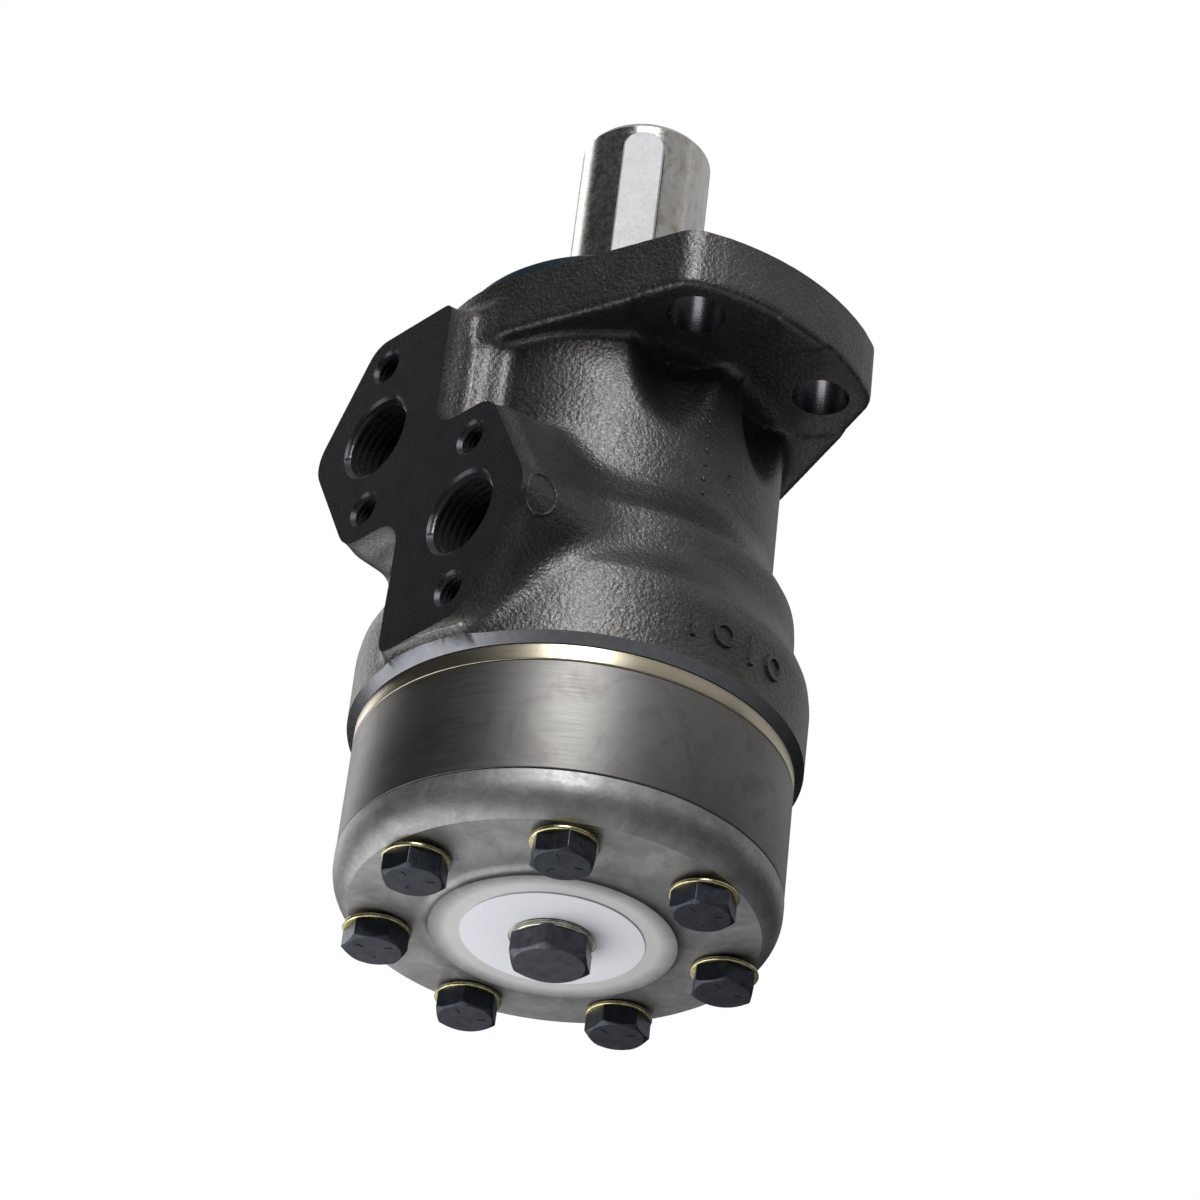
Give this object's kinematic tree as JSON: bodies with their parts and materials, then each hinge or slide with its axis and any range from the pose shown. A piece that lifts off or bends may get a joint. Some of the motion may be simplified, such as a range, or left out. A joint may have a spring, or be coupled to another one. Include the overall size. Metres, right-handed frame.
{
  "type": "hydraulic motor",
  "caption": "Orbital hydraulic motor with an oval mounting flange, keyed output shaft, two side ports and a bolted roller gear set.",
  "frame": {"origin": "on the shaft axis in the flange's mounting face", "axes": "+Z out along the output shaft, ports face -Y, flange longest along X"},
  "size_m": [0.1286, 0.1061, 0.2288],
  "materials": {
    "housing_iron": "dark phosphated sand-cast iron, satin, machined where flat",
    "front_cover_paint": "dark blue-green coating on a turned cover",
    "black_screw": "black oxide",
    "rubber": "black nitrile rubber",
    "bearing_steel": "hardened and ground",
    "shaft_steel": "ground bright steel with light oil stains",
    "key_steel": "drawn bright steel",
    "gear_steel": "hardened and ground",
    "plate_bronze_tint": "ground steel with a straw tint",
    "stator_steel": "dark turned steel",
    "end_cover_steel": "dark grey turned and tumbled steel",
    "bolt_black": "black oxide, oiled",
    "washer_zinc": "yellow passivated zinc",
    "label_grey": "blank pale grey foil",
    "plug_black": "black oxide, oiled",
    "plug_washer_steel": "passivated steel with a bonded rubber lip",
    "spring_steel": "spring wire"
  },
  "bodies": {
    "root": {"housing": "housing_iron", "front_cover": "front_cover_paint", "front_cover_screw_1": "black_screw", "front_cover_screw_2": "black_screw", "front_cover_screw_3": "black_screw", "front_cover_screw_4": "black_screw", "front_cover_screw_5": "black_screw", "front_cover_screw_6": "black_screw", "front_cover_o_ring": "rubber", "shaft_seal": "rubber", "dust_seal": "rubber", "rear_o_ring_1": "rubber", "rear_o_ring_2": "rubber", "rear_o_ring_3": "rubber", "thrust_bearing_race": "bearing_steel", "check_seat_1": "bearing_steel", "check_seat_2": "bearing_steel", "distributor_plate": "plate_bronze_tint", "stator_ring": "stator_steel", "end_cover": "end_cover_steel", "cover_bolt_1": "bolt_black", "cover_bolt_2": "bolt_black", "cover_bolt_3": "bolt_black", "cover_bolt_4": "bolt_black", "cover_bolt_5": "bolt_black", "cover_bolt_6": "bolt_black", "cover_bolt_7": "bolt_black", "bolt_washer_1": "washer_zinc", "bolt_washer_2": "washer_zinc", "bolt_washer_3": "washer_zinc", "bolt_washer_4": "washer_zinc", "bolt_washer_5": "washer_zinc", "bolt_washer_6": "washer_zinc", "bolt_washer_7": "washer_zinc", "label_disc": "label_grey", "drain_plug": "plug_black", "drain_plug_washer": "plug_washer_steel", "check_spring_1": "spring_steel", "check_spring_2": "spring_steel"},
    "shaft": {"output_shaft": "shaft_steel", "shaft_key": "key_steel"},
    "thrust_cage": {"thrust_bearing_cage": "bearing_steel"},
    "orbit": {"cardan_spacer": "gear_steel"},
    "rotor": {"rotor": "gear_steel"},
    "cardan": {"cardan_shaft": "gear_steel"},
    "roller_1": {"roller_1": "gear_steel"},
    "roller_2": {"roller_2": "gear_steel"},
    "roller_3": {"roller_3": "gear_steel"},
    "roller_4": {"roller_4": "gear_steel"},
    "roller_5": {"roller_5": "gear_steel"},
    "roller_6": {"roller_6": "gear_steel"},
    "roller_7": {"roller_7": "gear_steel"},
    "check_ball_1": {"check_ball_1": "bearing_steel"},
    "check_ball_2": {"check_ball_2": "bearing_steel"}
  },
  "joints": [
    {"name": "shaft_spin", "type": "hinge", "parent": "root", "child": "shaft", "pos_m": [0, 0, 0], "axis": [0, 0, 1], "continuous": true},
    {"name": "thrust_cage_spin", "type": "hinge", "parent": "root", "child": "thrust_cage", "pos_m": [0, 0, -0.0116], "axis": [0, 0, 1], "continuous": true},
    {"name": "rotor_orbit", "type": "hinge", "parent": "root", "child": "orbit", "pos_m": [0, 0, -0.125], "axis": [0, 0, 1], "continuous": true},
    {"name": "rotor_spin", "type": "hinge", "parent": "orbit", "child": "rotor", "pos_m": [0.00293, 0.00065, -0.124], "axis": [0, 0, 1], "continuous": true},
    {"name": "cardan_spin", "type": "hinge", "parent": "orbit", "child": "cardan", "pos_m": [0, 0, -0.045], "axis": [-0.037, -0.0082, 0.9993], "continuous": true},
    {"name": "roller_1_spin", "type": "hinge", "parent": "root", "child": "roller_1", "pos_m": [0.02475, 0.01949, -0.12485], "axis": [0, 0, 1], "continuous": true},
    {"name": "roller_2_spin", "type": "hinge", "parent": "root", "child": "roller_2", "pos_m": [0.0002, 0.0315, -0.12485], "axis": [0, 0, 1], "continuous": true},
    {"name": "roller_3_spin", "type": "hinge", "parent": "root", "child": "roller_3", "pos_m": [-0.0245, 0.01979, -0.12485], "axis": [0, 0, 1], "continuous": true},
    {"name": "roller_4_spin", "type": "hinge", "parent": "root", "child": "roller_4", "pos_m": [-0.03075, -0.00682, -0.12485], "axis": [0, 0, 1], "continuous": true},
    {"name": "roller_5_spin", "type": "hinge", "parent": "root", "child": "roller_5", "pos_m": [-0.01384, -0.0283, -0.12485], "axis": [0, 0, 1], "continuous": true},
    {"name": "roller_6_spin", "type": "hinge", "parent": "root", "child": "roller_6", "pos_m": [0.01349, -0.02847, -0.12485], "axis": [0, 0, 1], "continuous": true},
    {"name": "roller_7_spin", "type": "hinge", "parent": "root", "child": "roller_7", "pos_m": [0.03067, -0.0072, -0.12485], "axis": [0, 0, 1], "continuous": true},
    {"name": "check_ball_1_lift", "type": "slide", "parent": "root", "child": "check_ball_1", "axis": [0, 0, 1], "range_m": [0, 0.0015], "stiffness_N_per_m": 80, "springref_m": -0.004, "deforming": ["check_spring_1"]},
    {"name": "check_ball_2_lift", "type": "slide", "parent": "root", "child": "check_ball_2", "axis": [0, 0, 1], "range_m": [0, 0.0015], "stiffness_N_per_m": 80, "springref_m": -0.004, "deforming": ["check_spring_2"]}
  ],
  "couplings": [
    {"joint": "thrust_cage_spin", "follows": "shaft_spin", "ratio": 0.5},
    {"joint": "rotor_orbit", "follows": "shaft_spin", "ratio": -6},
    {"joint": "rotor_spin", "follows": "shaft_spin", "ratio": 7},
    {"joint": "cardan_spin", "follows": "shaft_spin", "ratio": 7},
    {"joint": "roller_1_spin", "follows": "shaft_spin", "ratio": -3.753},
    {"joint": "roller_2_spin", "follows": "shaft_spin", "ratio": -3.753},
    {"joint": "roller_3_spin", "follows": "shaft_spin", "ratio": -3.753},
    {"joint": "roller_4_spin", "follows": "shaft_spin", "ratio": -3.753},
    {"joint": "roller_5_spin", "follows": "shaft_spin", "ratio": -3.753},
    {"joint": "roller_6_spin", "follows": "shaft_spin", "ratio": -3.753},
    {"joint": "roller_7_spin", "follows": "shaft_spin", "ratio": -3.753}
  ]
}
